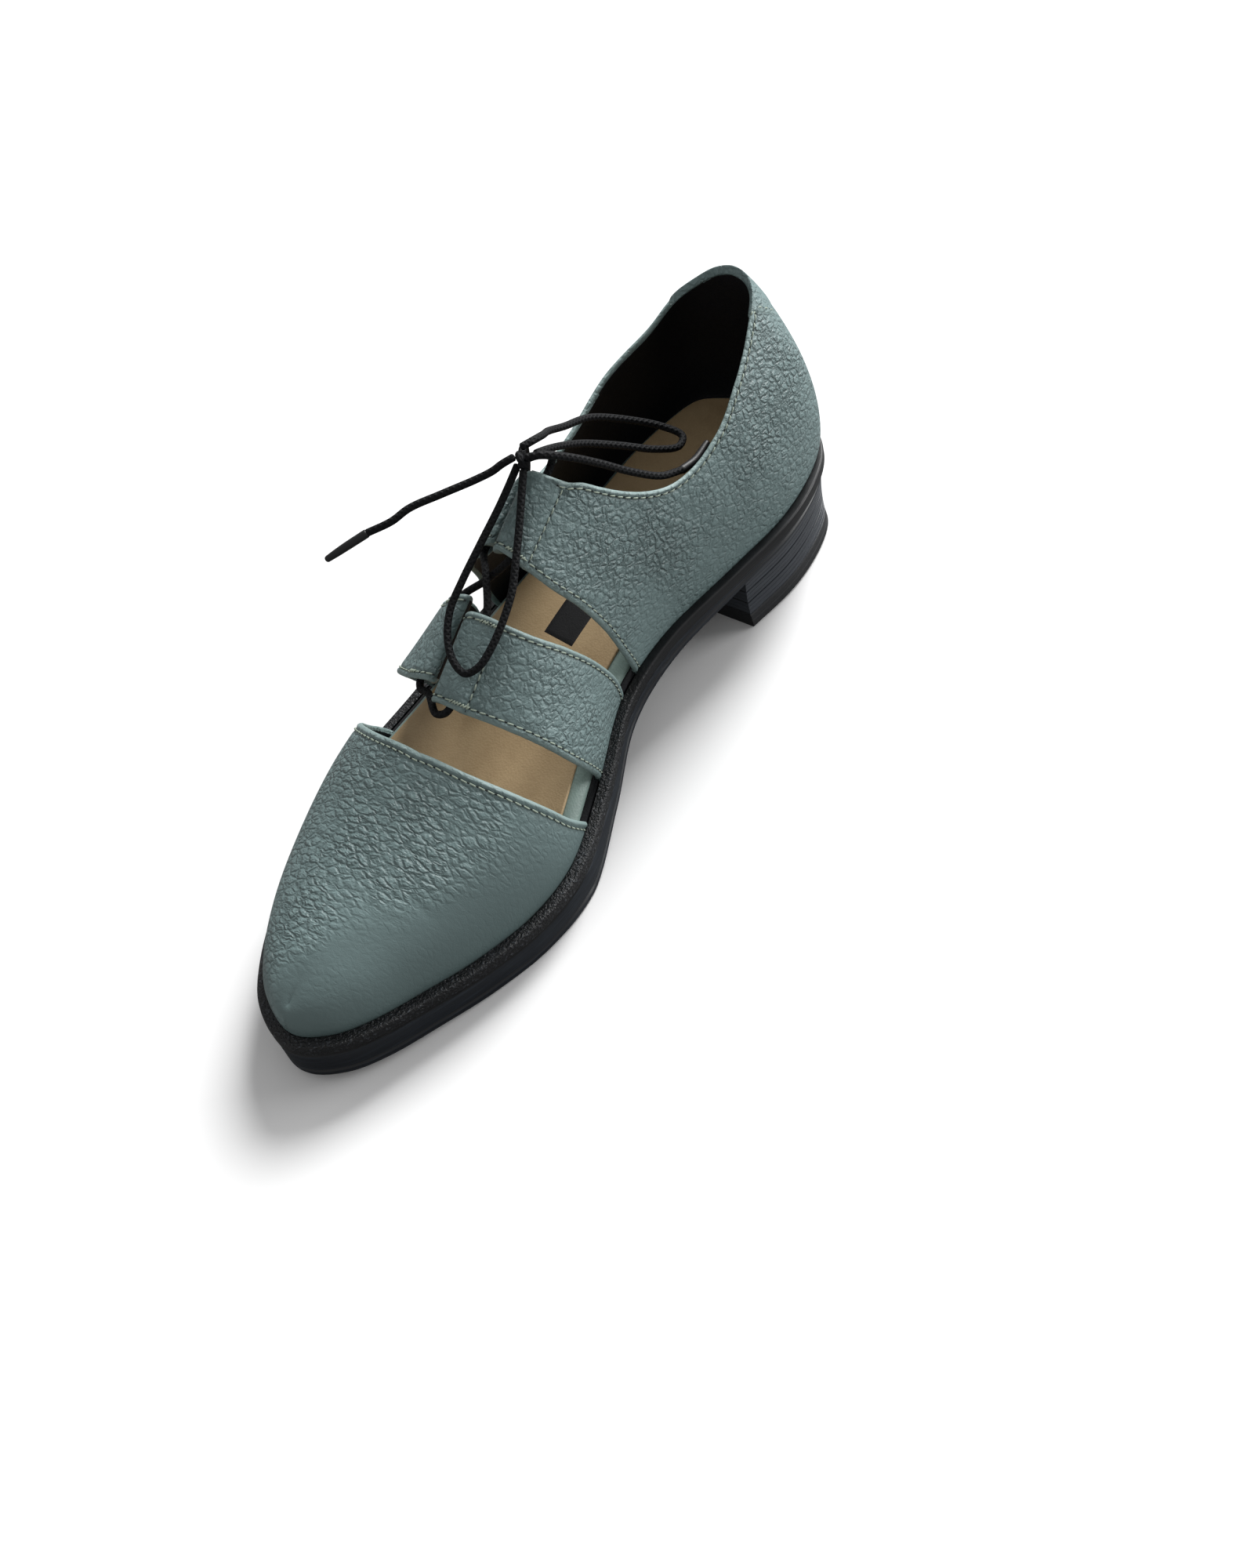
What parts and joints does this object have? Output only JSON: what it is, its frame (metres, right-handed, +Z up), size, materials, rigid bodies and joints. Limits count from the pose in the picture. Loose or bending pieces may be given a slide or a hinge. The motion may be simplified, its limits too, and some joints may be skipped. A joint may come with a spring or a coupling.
{
  "type": "shoe",
  "caption": "Empty right lace-up shoe of pebbled leather with open gaps across the instep, a stacked heel and a bow.",
  "frame": {"origin": "centre of the heel's contact face, on the floor", "axes": "+X from the heel to the toe, +Y to the wearer's left (the medial side of this right shoe), +Z up"},
  "size_m": [0.2648, 0.0907, 0.1077],
  "materials": {
    "upper_leather": "pebbled, semi-matt",
    "insole_leather": "smooth, matt",
    "sole_edge": "dyed and burnished",
    "tread": "matt",
    "lace": "waxed round cord",
    "aglet": "dipped and hardened cord"
  },
  "bodies": {
    "root": {"upper": "upper_leather", "footbed": "upper_leather", "insole": "insole_leather", "welt": "sole_edge", "outsole": "sole_edge", "heel": "sole_edge", "top_piece": "tread", "lace_bar": "lace", "lace_crossing": "lace", "lace_knot": "lace", "lace_loop_front": "lace", "lace_loop_back": "lace", "lace_end_left": "lace", "aglet_left": "aglet", "lace_end_right": "lace", "aglet_right": "aglet"}
  },
  "joints": []
}
